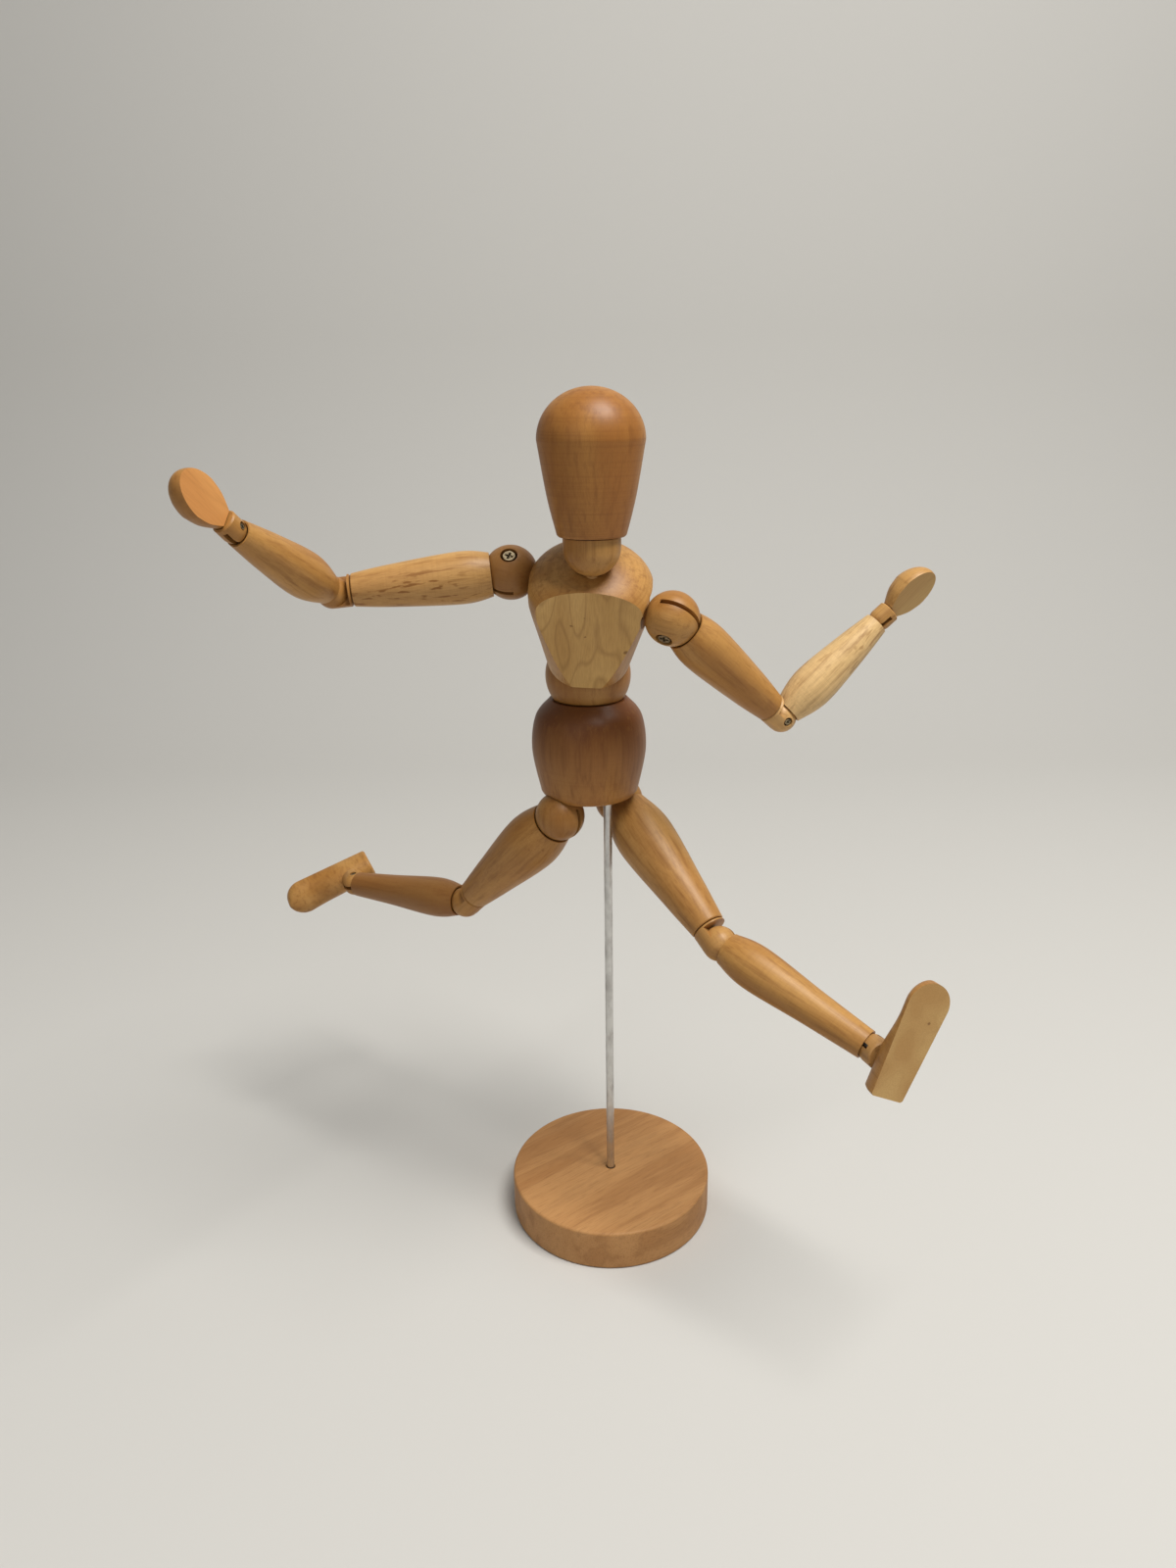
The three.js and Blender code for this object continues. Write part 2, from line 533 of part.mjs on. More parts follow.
const neckPath = new THREE.CurvePath();
const neckBend = neck.radius * 0.4;
neckPath.add(new THREE.LineCurve3(upright(neckBore + gap - neckAt), upright(-neckBend)));
neckPath.add(new THREE.QuadraticBezierCurve3(
  upright(-neckBend), upright(0), upright(neckBend).applyEuler(neckRock)));
neckPath.add(new THREE.LineCurve3(upright(neckBend).applyEuler(neckRock),
  upright(neck.collar + gap + neckSpring.headDepth).applyEuler(neckRock)));
const neckCoil = coilSpring('neck_spring', neckPath, neckSpring);
neckCoil.rotation.x = -rad(pose.neckNod);
neckNod.add(neckCoil);
const headTurn = joint(neckTilt, 'head_turn', 'z', pose.headTurn);
headTurn.position.z = neck.collar + gap;
const headArc = Array.from({ length: 8 }, (_, i) => {
  const angle = Math.PI / 2 * i / 7;
  return point(head.widestRadius * Math.cos(angle),
    head.widestAt + (head.height - head.widestAt) * Math.sin(angle));
});
headArc[7].x = 0;
const headSide = smooth([
  point(head.bottomRadius, head.edge),
  point((head.bottomRadius + head.widestRadius) * 0.5, head.widestAt * 0.42), headArc[0]], 6);
const headBore = neckSpring.headDepth + gap;
headTurn.add(piece('head', turned([
  point(0, headBore), point(springBore.neck, headBore), point(springBore.neck, 0),
  point(head.bottomRadius - head.edge, 0), ...headSide, ...headArc.slice(1)], torsoSides), wood));

// Arms on the shoulder spring's ends, legs under the pelvis
const armNames = ['shoulder', 'upper_arm', 'elbow', 'forearm', 'wrist', 'hand'];
const legNames = ['hip', 'thigh', 'knee', 'calf', 'ankle', 'foot'];
for (const [side, sign] of [['right', -1], ['left', 1]]) {
  const armRoot = new THREE.Group();
  armRoot.position.x = sign * chest.shoulderReach;
  armRoot.rotation.y = sign * Math.PI / 2;
  shoulderTwist.add(armRoot);
  limb(armRoot, side, armNames, pose[`${side}Arm`]);
  const legRoot = new THREE.Group();
  legRoot.position.set(legs[side], 0, -pelvis.hipDrop);
  legRoot.rotation.x = Math.PI;
  pelvisAxis.add(legRoot);
  limb(legRoot, side, legNames, pose[`${side}Leg`]);
}

export default figure;
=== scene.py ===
import json
import math
import bmesh
import bpy
from mathutils import Matrix, Vector


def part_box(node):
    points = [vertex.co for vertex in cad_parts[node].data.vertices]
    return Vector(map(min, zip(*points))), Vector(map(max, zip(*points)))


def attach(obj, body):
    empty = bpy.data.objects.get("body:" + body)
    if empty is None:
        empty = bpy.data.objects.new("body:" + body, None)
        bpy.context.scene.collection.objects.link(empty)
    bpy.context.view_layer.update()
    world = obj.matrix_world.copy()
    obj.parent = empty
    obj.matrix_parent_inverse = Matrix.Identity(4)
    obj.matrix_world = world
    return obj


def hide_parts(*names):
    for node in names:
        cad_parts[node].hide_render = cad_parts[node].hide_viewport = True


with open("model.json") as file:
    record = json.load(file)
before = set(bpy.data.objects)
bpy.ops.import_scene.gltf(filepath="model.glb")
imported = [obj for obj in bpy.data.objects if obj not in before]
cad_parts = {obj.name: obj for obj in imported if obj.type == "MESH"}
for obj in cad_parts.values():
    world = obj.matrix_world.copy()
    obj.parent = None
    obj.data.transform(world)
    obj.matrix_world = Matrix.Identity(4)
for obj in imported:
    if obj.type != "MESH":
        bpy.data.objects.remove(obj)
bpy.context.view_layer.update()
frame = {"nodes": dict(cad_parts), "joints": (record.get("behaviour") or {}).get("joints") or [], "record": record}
print("frame loaded:", len(frame["nodes"]), "nodes")

# Lengths are millimetres in each piece's own frame, its axis along Z, until place() sets it in the model
joints = {j["name"]: j for j in frame["joints"]}
bodyOf = {n: b for b, nodes in frame["record"]["behaviour"]["bodies"].items() for n in nodes}
millimetre = 0.001
facets = {"limb": 56, "torso": 96, "base": 160, "arc": 14}
clearance = 0.3


def where(name):
    return Vector(joints[name]["pos_m"]) / millimetre


def axisOf(name):
    return Vector(joints[name]["axis"]).normalized()


def basis(origin, along, across):
    z = along.normalized()
    x = (across - z * across.dot(z)).normalized()
    y = z.cross(x)
    turned = Matrix((x, y, z)).transposed().to_4x4()
    turned.translation = origin
    return turned


# Node wires: shader maths as plain expressions

class Wire:
    def __init__(self, tree, socket):
        self.tree, self.socket = tree, socket

    def maths(self, operation, first, second):
        made = self.tree.nodes.new("ShaderNodeMath")
        made.operation = operation
        for place, value in zip(made.inputs, (first, second)):
            if isinstance(value, Wire):
                self.tree.links.new(value.socket, place)
            else:
                place.default_value = value
        return Wire(self.tree, made.outputs[0])

    def __add__(self, other): return self.maths("ADD", self, other)
    def __radd__(self, other): return self.maths("ADD", other, self)
    def __sub__(self, other): return self.maths("SUBTRACT", self, other)
    def __rsub__(self, other): return self.maths("SUBTRACT", other, self)
    def __mul__(self, other): return self.maths("MULTIPLY", self, other)
    def __rmul__(self, other): return self.maths("MULTIPLY", other, self)


class Finish:
    def __init__(self, name):
        self.material = bpy.data.materials.new(name)
        self.material.use_nodes = True
        self.tree = self.material.node_tree
        self.tree.nodes.clear()

    def make(self, kind, settings=None, values=None, out=0):
        made = self.tree.nodes.new(kind)
        for key, value in (settings or {}).items():
            setattr(made, key, value)
        for key, value in (values or {}).items():
            if isinstance(value, Wire):
                self.tree.links.new(value.socket, made.inputs[key])
            else:
                made.inputs[key].default_value = value
        return Wire(self.tree, made.outputs[out]) if made.outputs else None

    def mix(self, amount, first, second):
        settings = {"data_type": "RGBA", "clamp_factor": True}
        return self.make("ShaderNodeMix", settings, {0: amount, 6: first, 7: second}, out=2)

    def noise(self, vector, scale, detail=3.0, rough=0.55):
        return self.make("ShaderNodeTexNoise", {"noise_dimensions": "3D"},
                         {"Vector": vector, "Scale": scale, "Detail": detail, "Roughness": rough})

    def ramp(self, value, low, high):
        limits = {"From Min": low, "From Max": high}
        return self.make("ShaderNodeMapRange", {"clamp": True}, {"Value": value, **limits})

    def stretch(self, vector, scale):
        return self.make("ShaderNodeVectorMath", {"operation": "MULTIPLY"}, {0: vector, 1: scale})

    def surface(self, values):
        shader = self.make("ShaderNodeBsdfPrincipled", None, values)
        self.make("ShaderNodeOutputMaterial", None, {"Surface": shader})
        return self.material


def srgb(red, green, blue):
    def straight(c):
        c /= 255
        return c / 12.92 if c <= 0.04045 else ((c + 0.055) / 1.055) ** 2.4
    return (straight(red), straight(green), straight(blue), 1)


# Turned wood: fibres run along the piece's axis. "grain" holds each point's place in its own piece, in mm;
# "tone" runs from 0, heartwood, to 2, sapwood; "flecked" says how strongly the short dark flecks show

# the heart colour is also the colour of painted shade where a look darkens the top of its piece
turnedWood = {"pale": srgb(190, 143, 80), "mid": srgb(165, 115, 55), "deep": srgb(120, 73, 30),
              "sap": srgb(228, 194, 138), "heart": srgb(112, 64, 26), "fleck": srgb(138, 92, 44),
              "lathe": 0.1, "fade": None, "rough": 0.42, "bump": 0.06}


def seedShift(seed):
    return Vector((seed * 37.0, seed * 53.0, seed * 71.0))


def withKnots(wood, grain, colour, knots, seed, dark):
    for x, y, z, radius in knots:
        spot = tuple(Vector((x, y, z)) + seedShift(seed))
        away = wood.make("ShaderNodeVectorMath", {"operation": "DISTANCE"}, {0: grain, 1: spot}, out=1)
        ragged = away + (wood.noise(grain, 1.4, 2.0) - 0.5) * radius * 2.4
        colour = wood.mix((1 - wood.ramp(ragged, radius * 0.45, radius)) * 0.75, colour, dark)
    return colour


def turnedFinish(name, look, knots=(), seed=0):
    wood = Finish(name)
    grain = wood.make("ShaderNodeAttribute", {"attribute_name": "grain"}, None, out=1)
    tone = wood.make("ShaderNodeAttribute", {"attribute_name": "tone"}, None, out=2)
    flecked = wood.make("ShaderNodeAttribute", {"attribute_name": "flecked"}, None, out=2)
    drift = wood.noise(wood.stretch(grain, (0.09, 0.09, 0.014)), 1.0, 2.0)
    streak = wood.noise(wood.stretch(grain, (0.7, 0.7, 0.02)), 1.0, 5.0, 0.6)
    fibre = wood.noise(wood.stretch(grain, (4.5, 4.5, 0.18)), 1.0, 3.0)
    turning = wood.noise(wood.stretch(grain, (0.03, 0.03, 2.2)), 1.0, 3.0)
    patch = wood.ramp(wood.noise(wood.stretch(grain, (0.1, 0.1, 0.04)), 1.0, 1.0), 0.36, 0.58)
    dash = wood.ramp(wood.noise(wood.stretch(grain, (0.95, 0.95, 0.22)), 1.0, 2.0, 0.5), 0.56, 0.64)
    colour = wood.mix(wood.ramp(drift, 0.36, 0.64), look["pale"], look["mid"])
    colour = wood.mix(wood.ramp(tone, 1.0, 2.0), colour, look["sap"])
    colour = wood.mix(wood.ramp(1 - tone, 0.0, 1.0), colour, look["heart"])
    colour = wood.mix(wood.ramp(streak, 0.5, 0.7) * 0.5, colour, look["deep"])
    # painted shade: the piece darkens towards its top into the heart colour, with a ragged edge; only the pelvis
    # uses it, for the shade under the chest
    if look["fade"]:
        low, high, most = look["fade"]
        height = wood.make("ShaderNodeSeparateXYZ", None, {"Vector": grain}, out=2)
        colour = wood.mix(wood.ramp(height + (streak - 0.5) * 10.0, low, high) * most, colour, look["heart"])
    colour = wood.mix(wood.ramp(turning, 0.45, 0.7) * look["lathe"], colour, look["deep"])
    colour = wood.mix(dash * patch * flecked, colour, look["fleck"])
    colour = wood.mix(wood.ramp(fibre, 0.4, 0.75) * 0.26, colour, look["deep"])
    colour = withKnots(wood, grain, colour, knots, seed, look["fleck"])
    bump = wood.make("ShaderNodeBump", None, {"Strength": look["bump"], "Distance": 0.0003, "Height": fibre})
    rough = streak * 0.16 + (look["rough"] - 0.08)
    return wood.surface({"Base Color": colour, "Roughness": rough, "Normal": bump, "Specular IOR Level": 0.3})


# Sawn faces: paler and drier, with the long arcs of flat-sawn figure

sawnWood = {"pale": srgb(190, 154, 98), "mid": srgb(174, 134, 80), "deep": srgb(136, 96, 52),
            "knot": srgb(116, 78, 42), "figure": 0.1, "rough": 0.56, "bump": 0.05}


def sawnFinish(name, look, knots=(), seed=0):
    wood = Finish(name)
    grain = wood.make("ShaderNodeAttribute", {"attribute_name": "grain"}, None, out=1)
    figure = wood.noise(wood.stretch(grain, (0.11, 0.11, 0.022)), 1.0, 1.0)
    lines = wood.make("ShaderNodeMath", {"operation": "PINGPONG"}, {0: figure * 15.0, 1: 1.0})
    fibre = wood.noise(wood.stretch(grain, (3.5, 3.5, 0.2)), 1.0, 3.0)
    colour = wood.mix(wood.ramp(figure, 0.35, 0.65), look["pale"], look["mid"])
    colour = wood.mix(wood.ramp(lines, 0.72, 1.0) * look["figure"], colour, look["deep"])
    colour = wood.mix(wood.ramp(fibre, 0.4, 0.75) * 0.3, colour, look["deep"])
    colour = withKnots(wood, grain, colour, knots, seed, look["knot"])
    bump = wood.make("ShaderNodeBump", None, {"Strength": look["bump"], "Distance": 0.0003, "Height": fibre})
    return wood.surface({"Base Color": colour, "Roughness": look["rough"], "Normal": bump,
                         "Specular IOR Level": 0.3})


# The base is a slab: its stripes run level, slanting across the top and showing along the rim

slabWood = {"pale": srgb(186, 138, 86), "mid": srgb(166, 117, 68), "deep": srgb(126, 82, 44), "slant": 38,
            "rough": 0.58, "bump": 0.06}


def slabFinish(name, look):
    wood = Finish(name)
    place = wood.make("ShaderNodeTexCoord", None, None, out=3)
    turn = (0, 0, math.radians(-look["slant"]))
    along = wood.make("ShaderNodeMapping", None,
                      {"Vector": place, "Rotation": turn, "Scale": (1 / millimetre,) * 3})
    wide = wood.noise(wood.stretch(along, (0.012, 0.16, 0.1)), 1.0, 2.0)
    lines = wood.make("ShaderNodeMath", {"operation": "PINGPONG"}, {0: wide * 9.0, 1: 1.0})
    pores = wood.noise(wood.stretch(along, (0.22, 3.4, 2.0)), 1.0, 3.0)
    colour = wood.mix(wood.ramp(wide, 0.35, 0.68), look["pale"], look["mid"])
    colour = wood.mix(wood.ramp(lines, 0.5, 1.0) * 0.22, colour, look["deep"])
    colour = wood.mix(wood.ramp(pores, 0.48, 0.75) * 0.45, colour, look["deep"])
    bump = wood.make("ShaderNodeBump", None, {"Strength": look["bump"], "Distance": 0.0003, "Height": pores})
    return wood.surface({"Base Color": colour, "Roughness": look["rough"], "Normal": bump,
                         "Specular IOR Level": 0.3})


def metalFinish(name, bright, dull, rough, grain):
    metal = Finish(name)
    place = metal.make("ShaderNodeTexCoord", None, None, out=3)
    cloud = metal.ramp(metal.noise(metal.stretch(place, grain), 1.0, 4.0), 0.42, 0.68)
    return metal.surface({"Base Color": metal.mix(cloud, bright, dull), "Metallic": 1.0,
                          "Roughness": cloud * 0.18 + rough})


# the pelvis is painted darker towards its top: painted shade, standing for the shade cast by the leaning chest
pelvisWood = dict(turnedWood, pale=srgb(174, 122, 62), mid=srgb(158, 104, 48), heart=srgb(94, 50, 19),
                  fade=(0, 24, 0.9), lathe=0.15)
headWood = dict(turnedWood, pale=srgb(174, 121, 58), mid=srgb(156, 102, 46), deep=srgb(118, 70, 29),
                lathe=0.3)
chestWood = dict(turnedWood, lathe=0.35)
limbFinish = turnedFinish("turnedLimbWood", turnedWood)
headFinish = turnedFinish("turnedHeadWood", headWood)
chestFinish = turnedFinish("turnedChestWood", chestWood)
pelvisFinish = turnedFinish("heartWood", pelvisWood)
faceFinish = sawnFinish("sawnFaceWood", sawnWood)
palmWood = dict(sawnWood, pale=srgb(206, 146, 82), mid=srgb(190, 130, 70), deep=srgb(150, 98, 50))
palmFinish = sawnFinish("sawnPalmWood", palmWood)
chestFacet = dict(sawnWood, pale=srgb(202, 162, 100), mid=srgb(182, 140, 80), figure=0.4)
facetKnots = ((-4.4, -9.4, 29.5, 0.55), (-1.2, -9.3, 32.4, 0.3), (-0.8, -9.6, 25.9, 0.4),
              (10.0, -9.9, 21.0, 0.8))
facetFinish = sawnFinish("sawnChestWood", chestFacet, facetKnots, seed=52)
thighKnots = ((7.67, -2.92, 10.45, 0.55), (5.64, -5.21, 7.9, 0.6))
thighFinish = turnedFinish("knottedThighWood", turnedWood, thighKnots, seed=5)
soleFinish = sawnFinish("sawnSoleWood", sawnWood, ((-2.2, -13.6, 11.9, 0.45),), seed=32)
baseFinish = slabFinish("slabWood", slabWood)
rodFinish = metalFinish("drawnRodSteel", srgb(208, 207, 204), srgb(184, 182, 179), 0.3, (420, 420, 200))
tabFinish = metalFinish("tabSteel", srgb(176, 174, 168), srgb(120, 118, 114), 0.38, (700, 700, 700))
screwFinish = metalFinish("screwSteel", srgb(168, 152, 122), srgb(92, 82, 66), 0.36, (1500, 1500, 1500))
print("finishes made")


# Shapes

def arc(radius, centre, start, end, steps=facets["arc"]):
    turn = [math.radians(start + (end - start) * i / steps) for i in range(steps + 1)]
    return [(radius * math.sin(a), centre + radius * math.cos(a)) for a in turn]


def throughPoints(points, steps=40):
    # an even curve through a few profile points
    last = len(points) - 1
    made = []
    for i in range(steps + 1):
        at = last * i / steps
        k = min(int(at), last - 1)
        t = at - k
        p = [points[max(0, min(last, k + n))] for n in (-1, 0, 1, 2)]
        pair = []
        for c in (0, 1):
            a, b, d, e = (q[c] for q in p)
            v0, v1 = (d - a) / 2, (e - b) / 2
            cubic, square = 2 * b - 2 * d + v0 + v1, 3 * d - 3 * b - 2 * v0 - v1
            pair.append(cubic * t ** 3 + square * t ** 2 + v0 * t + b)
        made.append((max(0.0, pair[0]), pair[1]))
    return made


def turnedShape(profile, sides):
    # profile runs from the lower end on the axis, out, up and back to the axis, or round a closed loop
    shape = bmesh.new()
    rings = []
    for radius, height in profile:
        if radius < 1e-6:
            rings.append([shape.verts.new((0, 0, height))])
        else:
            turn = [2 * math.pi * i / sides for i in range(sides)]
            spots = [(radius * math.cos(a), radius * math.sin(a), height) for a in turn]
            rings.append([shape.verts.new(spot) for spot in spots])
    for low, high in zip(rings, rings[1:]):
        for i in range(sides):
            n = (i + 1) % sides
            corners = [low[i % len(low)], low[n % len(low)], high[n % len(high)], high[i % len(high)]]
            corners = [c for k, c in enumerate(corners) if c not in corners[:k]]
            if len(corners) > 2:
                shape.faces.new(corners)
    bmesh.ops.remove_doubles(shape, verts=shape.verts, dist=1e-5)
    bmesh.ops.recalc_face_normals(shape, faces=shape.faces)
    return shapeObject("turned", shape)


def shapeObject(name, shape):
    mesh = bpy.data.meshes.new(name)
    shape.to_mesh(mesh)
    shape.free()
    made = bpy.data.objects.new(name, mesh)
    bpy.context.scene.collection.objects.link(made)
    return made


def block(low, high):
    shape = bmesh.new()
    bmesh.ops.create_cube(shape, size=1)
    size = [b - a for a, b in zip(low, high)]
    middle = [(a + b) / 2 for a, b in zip(low, high)]
    bmesh.ops.scale(shape, vec=size, verts=shape.verts)
    bmesh.ops.translate(shape, vec=middle, verts=shape.verts)
    return shapeObject("block", shape)


def rod(radius, start, end, sides=40):
    return turnedShape([(0, start), (radius, start), (radius, end), (0, end)], sides)


def ballShape(radius, centre, sides=64):
    made = turnedShape(arc(radius, 0, 180, 0, 32), sides)
    made.data.transform(Matrix.Translation(centre))
    return made


def settle(piece):
    solid = bpy.data.meshes.new_from_object(piece.evaluated_get(bpy.context.evaluated_depsgraph_get()))
    piece.modifiers.clear()
    piece.data = solid


def carve(piece, cutter):
    tool = piece.modifiers.new("carve", "BOOLEAN")
    tool.operation, tool.solver, tool.object = "DIFFERENCE", "EXACT", cutter
    settle(piece)
    bpy.data.objects.remove(cutter)


def turnTo(piece, matrix):
    piece.data.transform(matrix)
    return piece


def place(piece, node, at, finish, tone=1.0, flecked=0.3, seed=0, sharp=32, flat=None, face=None):
    # sets the piece in the model, and stores where each point lies in the piece's own frame for the grain
    mesh = piece.data
    piece.name = node + "_look"
    own = [c for v in mesh.vertices for c in (v.co + seedShift(seed))]
    mesh.attributes.new("grain", "FLOAT_VECTOR", "POINT").data.foreach_set("vector", own)
    for name, value in (("tone", tone), ("flecked", flecked)):
        mesh.attributes.new(name, "FLOAT", "POINT").data.foreach_set("value", [value] * len(mesh.vertices))
    mesh.materials.clear()
    mesh.materials.append(finish)
    if flat:
        mesh.materials.append(face or faceFinish)
        normal, reach = Vector(flat[:3]), flat[3]
        for side in mesh.polygons:
            onFlat = side.normal.dot(normal) > 0.999 and abs(side.center.dot(normal) - reach) < 0.2
            side.material_index = 1 if onFlat else 0
    mesh.shade_smooth()
    mesh.set_sharp_from_angle(angle=math.radians(sharp))
    mesh.transform(Matrix.Scale(millimetre, 4) @ at)
    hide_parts(node)
    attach(piece, bodyOf[node])
    return piece


# Knuckles: slotted balls and bullets, each with a sunk screw

kerfWidth = 1.2
tabDepth = 9
rimWall = 0.4
knuckles = {
    "shoulder": dict(radius=7.1, flat=0, spigot=1.8, spigotLength=5, eye=3, head=1.95, sunk=0.8, cup=46),
    "hip": dict(radius=7.1, flat=0, spigot=2.2, spigotLength=7, eye=3, head=1.95, sunk=0.8, cup=58),
    "elbow": dict(radius=4.2, flat=5, spigot=1.6, spigotLength=6, eye=2.1, head=1, sunk=0.5, cup=55, lip=0.6),
    "knee": dict(radius=4.9, flat=5.6, spigot=1.8, spigotLength=7, eye=2.4, head=1, sunk=0.5, cup=58,
                 lip=0.6),
    "wrist": dict(radius=3.1, flat=3.4, spigot=0.8, spigotLength=4, eye=1.6, head=0.85, sunk=0.4, cup=60),
    "ankle": dict(radius=3.9, flat=4.2, spigot=1.4, spigotLength=4, eye=1.9, head=0.85, sunk=0.4, cup=60),
}


def screwTop(size):
    return math.sqrt(size["radius"] ** 2 - (size["head"] + clearance) ** 2) - size["sunk"]


def knuckleShape(size, headSide):
    radius, flat, spigot = size["radius"], size["flat"], size["spigot"]
    end = (flat or radius) + size["spigotLength"]
    if flat:
        edge = 0.35
        skin = [(radius - edge, -flat), (radius, -flat + edge)] + arc(radius, 0, 90, 0, 20)
        start = [(spigot, -flat)]
    else:
        skin = arc(radius, 0, 180 - math.degrees(math.asin(spigot / radius)), 0, 40)
        start = []
    body = turnedShape([(0, -end), (spigot, -end)] + start + skin, facets["limb"])
    reach = radius + 1
    if size.get("lip"):
        inside = block((-reach, -2 * reach, -(flat - size["lip"])), (reach, -0.02, 0.05))
        carve(inside, ballShape(radius + 0.03, (0, 0, 0), 70))
        carve(body, inside)
    half = kerfWidth / 2
    carve(body, block((-half, -2 * reach, -(size["eye"] + clearance)), (half, 2 * reach, 2 * reach)))
    hole = rod(size["head"] + clearance, screwTop(size) - 1.3, 2 * reach)
    carve(body, turnTo(hole, Matrix.Rotation(headSide * math.pi / 2, 4, "Y")))
    return body


# Screws: one node tree, with a cross cut into a domed head

def screwTree():
    tree = bpy.data.node_groups.new("crossScrew", "GeometryNodeTree")
    face = tree.interface
    face.new_socket("Geometry", in_out="INPUT", socket_type="NodeSocketGeometry")
    face.new_socket("Geometry", in_out="OUTPUT", socket_type="NodeSocketGeometry")
    names = ("Head Radius", "Head Height", "Shank Radius", "Shank Length", "Cross Width")
    keys = {n: face.new_socket(n, in_out="INPUT", socket_type="NodeSocketFloat").identifier for n in names}
    keys["Metal"] = face.new_socket("Metal", in_out="INPUT", socket_type="NodeSocketMaterial").identifier
    node, link = tree.nodes.new, tree.links.new
    given = node("NodeGroupInput").outputs

    def maths(operation, first, second):
        made = node("ShaderNodeMath")
        made.operation = operation
        for spot, value in zip(made.inputs, (first, second)):
            if isinstance(value, (int, float)):
                spot.default_value = value
            else:
                link(value, spot)
        return made.outputs[0]

    def vector(x, y, z):
        made = node("ShaderNodeCombineXYZ")
        for spot, value in zip(made.inputs, (x, y, z)):
            if isinstance(value, (int, float)):
                spot.default_value = value
            else:
                link(value, spot)
        return made.outputs[0]

    def moved(mesh, shift):
        made = node("GeometryNodeTransform")
        link(mesh, made.inputs["Geometry"])
        link(shift, made.inputs["Translation"])
        return made.outputs[0]

    headRadius, headHeight = given["Head Radius"], given["Head Height"]
    dome = node("GeometryNodeMeshCone")
    dome.inputs["Vertices"].default_value = 40
    link(maths("MULTIPLY", headRadius, 0.8), dome.inputs["Radius Top"])
    link(headRadius, dome.inputs["Radius Bottom"])
    link(headHeight, dome.inputs["Depth"])
    cut = node("GeometryNodeMeshBoolean")
    cut.operation = "DIFFERENCE"
    link(dome.outputs["Mesh"], cut.inputs["Mesh 1"])
    arm = maths("MULTIPLY", headRadius, 1.15)
    lift = vector(0, 0, maths("MULTIPLY", headHeight, 0.85))
    for size in ((arm, given["Cross Width"]), (given["Cross Width"], arm)):
        bar = node("GeometryNodeMeshCube")
        link(vector(size[0], size[1], headHeight), bar.inputs["Size"])
        link(moved(bar.outputs["Mesh"], lift), cut.inputs["Mesh 2"])
    shank = node("GeometryNodeMeshCylinder")
    shank.inputs["Vertices"].default_value = 24
    link(given["Shank Radius"], shank.inputs["Radius"])
    link(given["Shank Length"], shank.inputs["Depth"])
    below = vector(0, 0, maths("MULTIPLY", given["Shank Length"], -0.5))
    joined = node("GeometryNodeJoinGeometry")
    link(cut.outputs["Mesh"], joined.inputs[0])
    link(moved(shank.outputs["Mesh"], below), joined.inputs[0])
    real = node("GeometryNodeRealizeInstances")
    link(joined.outputs[0], real.inputs[0])
    metal = node("GeometryNodeSetMaterial")
    link(real.outputs[0], metal.inputs["Geometry"])
    link(given["Metal"], metal.inputs["Material"])
    link(metal.outputs[0], node("NodeGroupOutput").inputs[0])
    return tree, keys


screwNodes, screwKeys = screwTree()


def screwShape(size, headSide):
    height = size["head"] * 0.6
    made = shapeObject("screw", bmesh.new())
    tool = made.modifiers.new("screw", "NODES")
    tool.node_group = screwNodes
    values = {"Head Radius": size["head"], "Head Height": height, "Shank Radius": size["head"] * 0.45,
              "Shank Length": screwTop(size) + size["radius"] * 0.7, "Cross Width": size["head"] * 0.3,
              "Metal": screwFinish}
    for name, value in values.items():
        tool[screwKeys[name]] = value
    settle(made)
    top = screwTop(size) - height / 2
    return turnTo(made, Matrix.Rotation(headSide * math.pi / 2, 4, "Y") @ Matrix.Translation((0, 0, top)))


# Limbs: turned spindles between the knuckles, cupped where they ride on one

limbs = {
    "upper_arm": dict(length=46.5, belly=6.8, bellyAt=13, shank=5.5, shankAt=31, end=4.3),
    "forearm": dict(length=38, belly=6, bellyAt=11.5, shank=4.9, shankAt=25),
    "thigh": dict(length=54, belly=8.6, bellyAt=15, shank=6.6, shankAt=35, end=5),
    "calf": dict(length=49.5, belly=6.3, bellyAt=12, shank=5, shankAt=31),
}


def cupPoints(size, height, way):
    return [(r, height + way * z) for r, z in arc(size["radius"] + clearance, 0, 0, size["cup"])]


def rimPoint(size, height, way):
    r, z = cupPoints(size, height, way)[-1]
    return (r + rimWall, z)


def slotBlock(size):
    half = 0.3 + clearance
    wide = size["eye"] * 0.7 + clearance
    return block((-half, -wide, 0), (half, wide, size["radius"] + tabDepth + clearance))


def limbShape(kind, near, far):
    form = limbs[kind]
    middle = [(form["belly"], form["bellyAt"]), (form["shank"], form["shankAt"])]
    if far["flat"] and "end" in form:
        top = form["length"] - far["flat"] - clearance
        bore, floor = far["spigot"] + clearance, top - far["spigotLength"] - clearance
        edge = 0.25
        tail = [(form["end"] - edge, top), (bore, top), (bore, floor), (0, floor)]
        skin = throughPoints([rimPoint(near, 0, 1)] + middle + [(form["end"], top - edge)])
    else:
        tail = cupPoints(far, form["length"], -1)[::-1]
        skin = throughPoints([rimPoint(near, 0, 1)] + middle + [rimPoint(far, form["length"], -1)])
    body = turnedShape(cupPoints(near, 0, 1) + skin + tail, facets["limb"])
    carve(body, slotBlock(near))
    if "end" not in form:
        slot = Matrix.Translation((0, 0, form["length"])) @ Matrix.Rotation(math.pi / 2, 4, "Z")
        carve(body, turnTo(slotBlock(far), slot @ Matrix.Rotation(math.pi, 4, "X")))
    return body


# Hands: spindles with a sawn palm

handForm = dict(length=18.6, wrist=2.6, belly=5.6, bellyAt=10.8, palm=1.4)


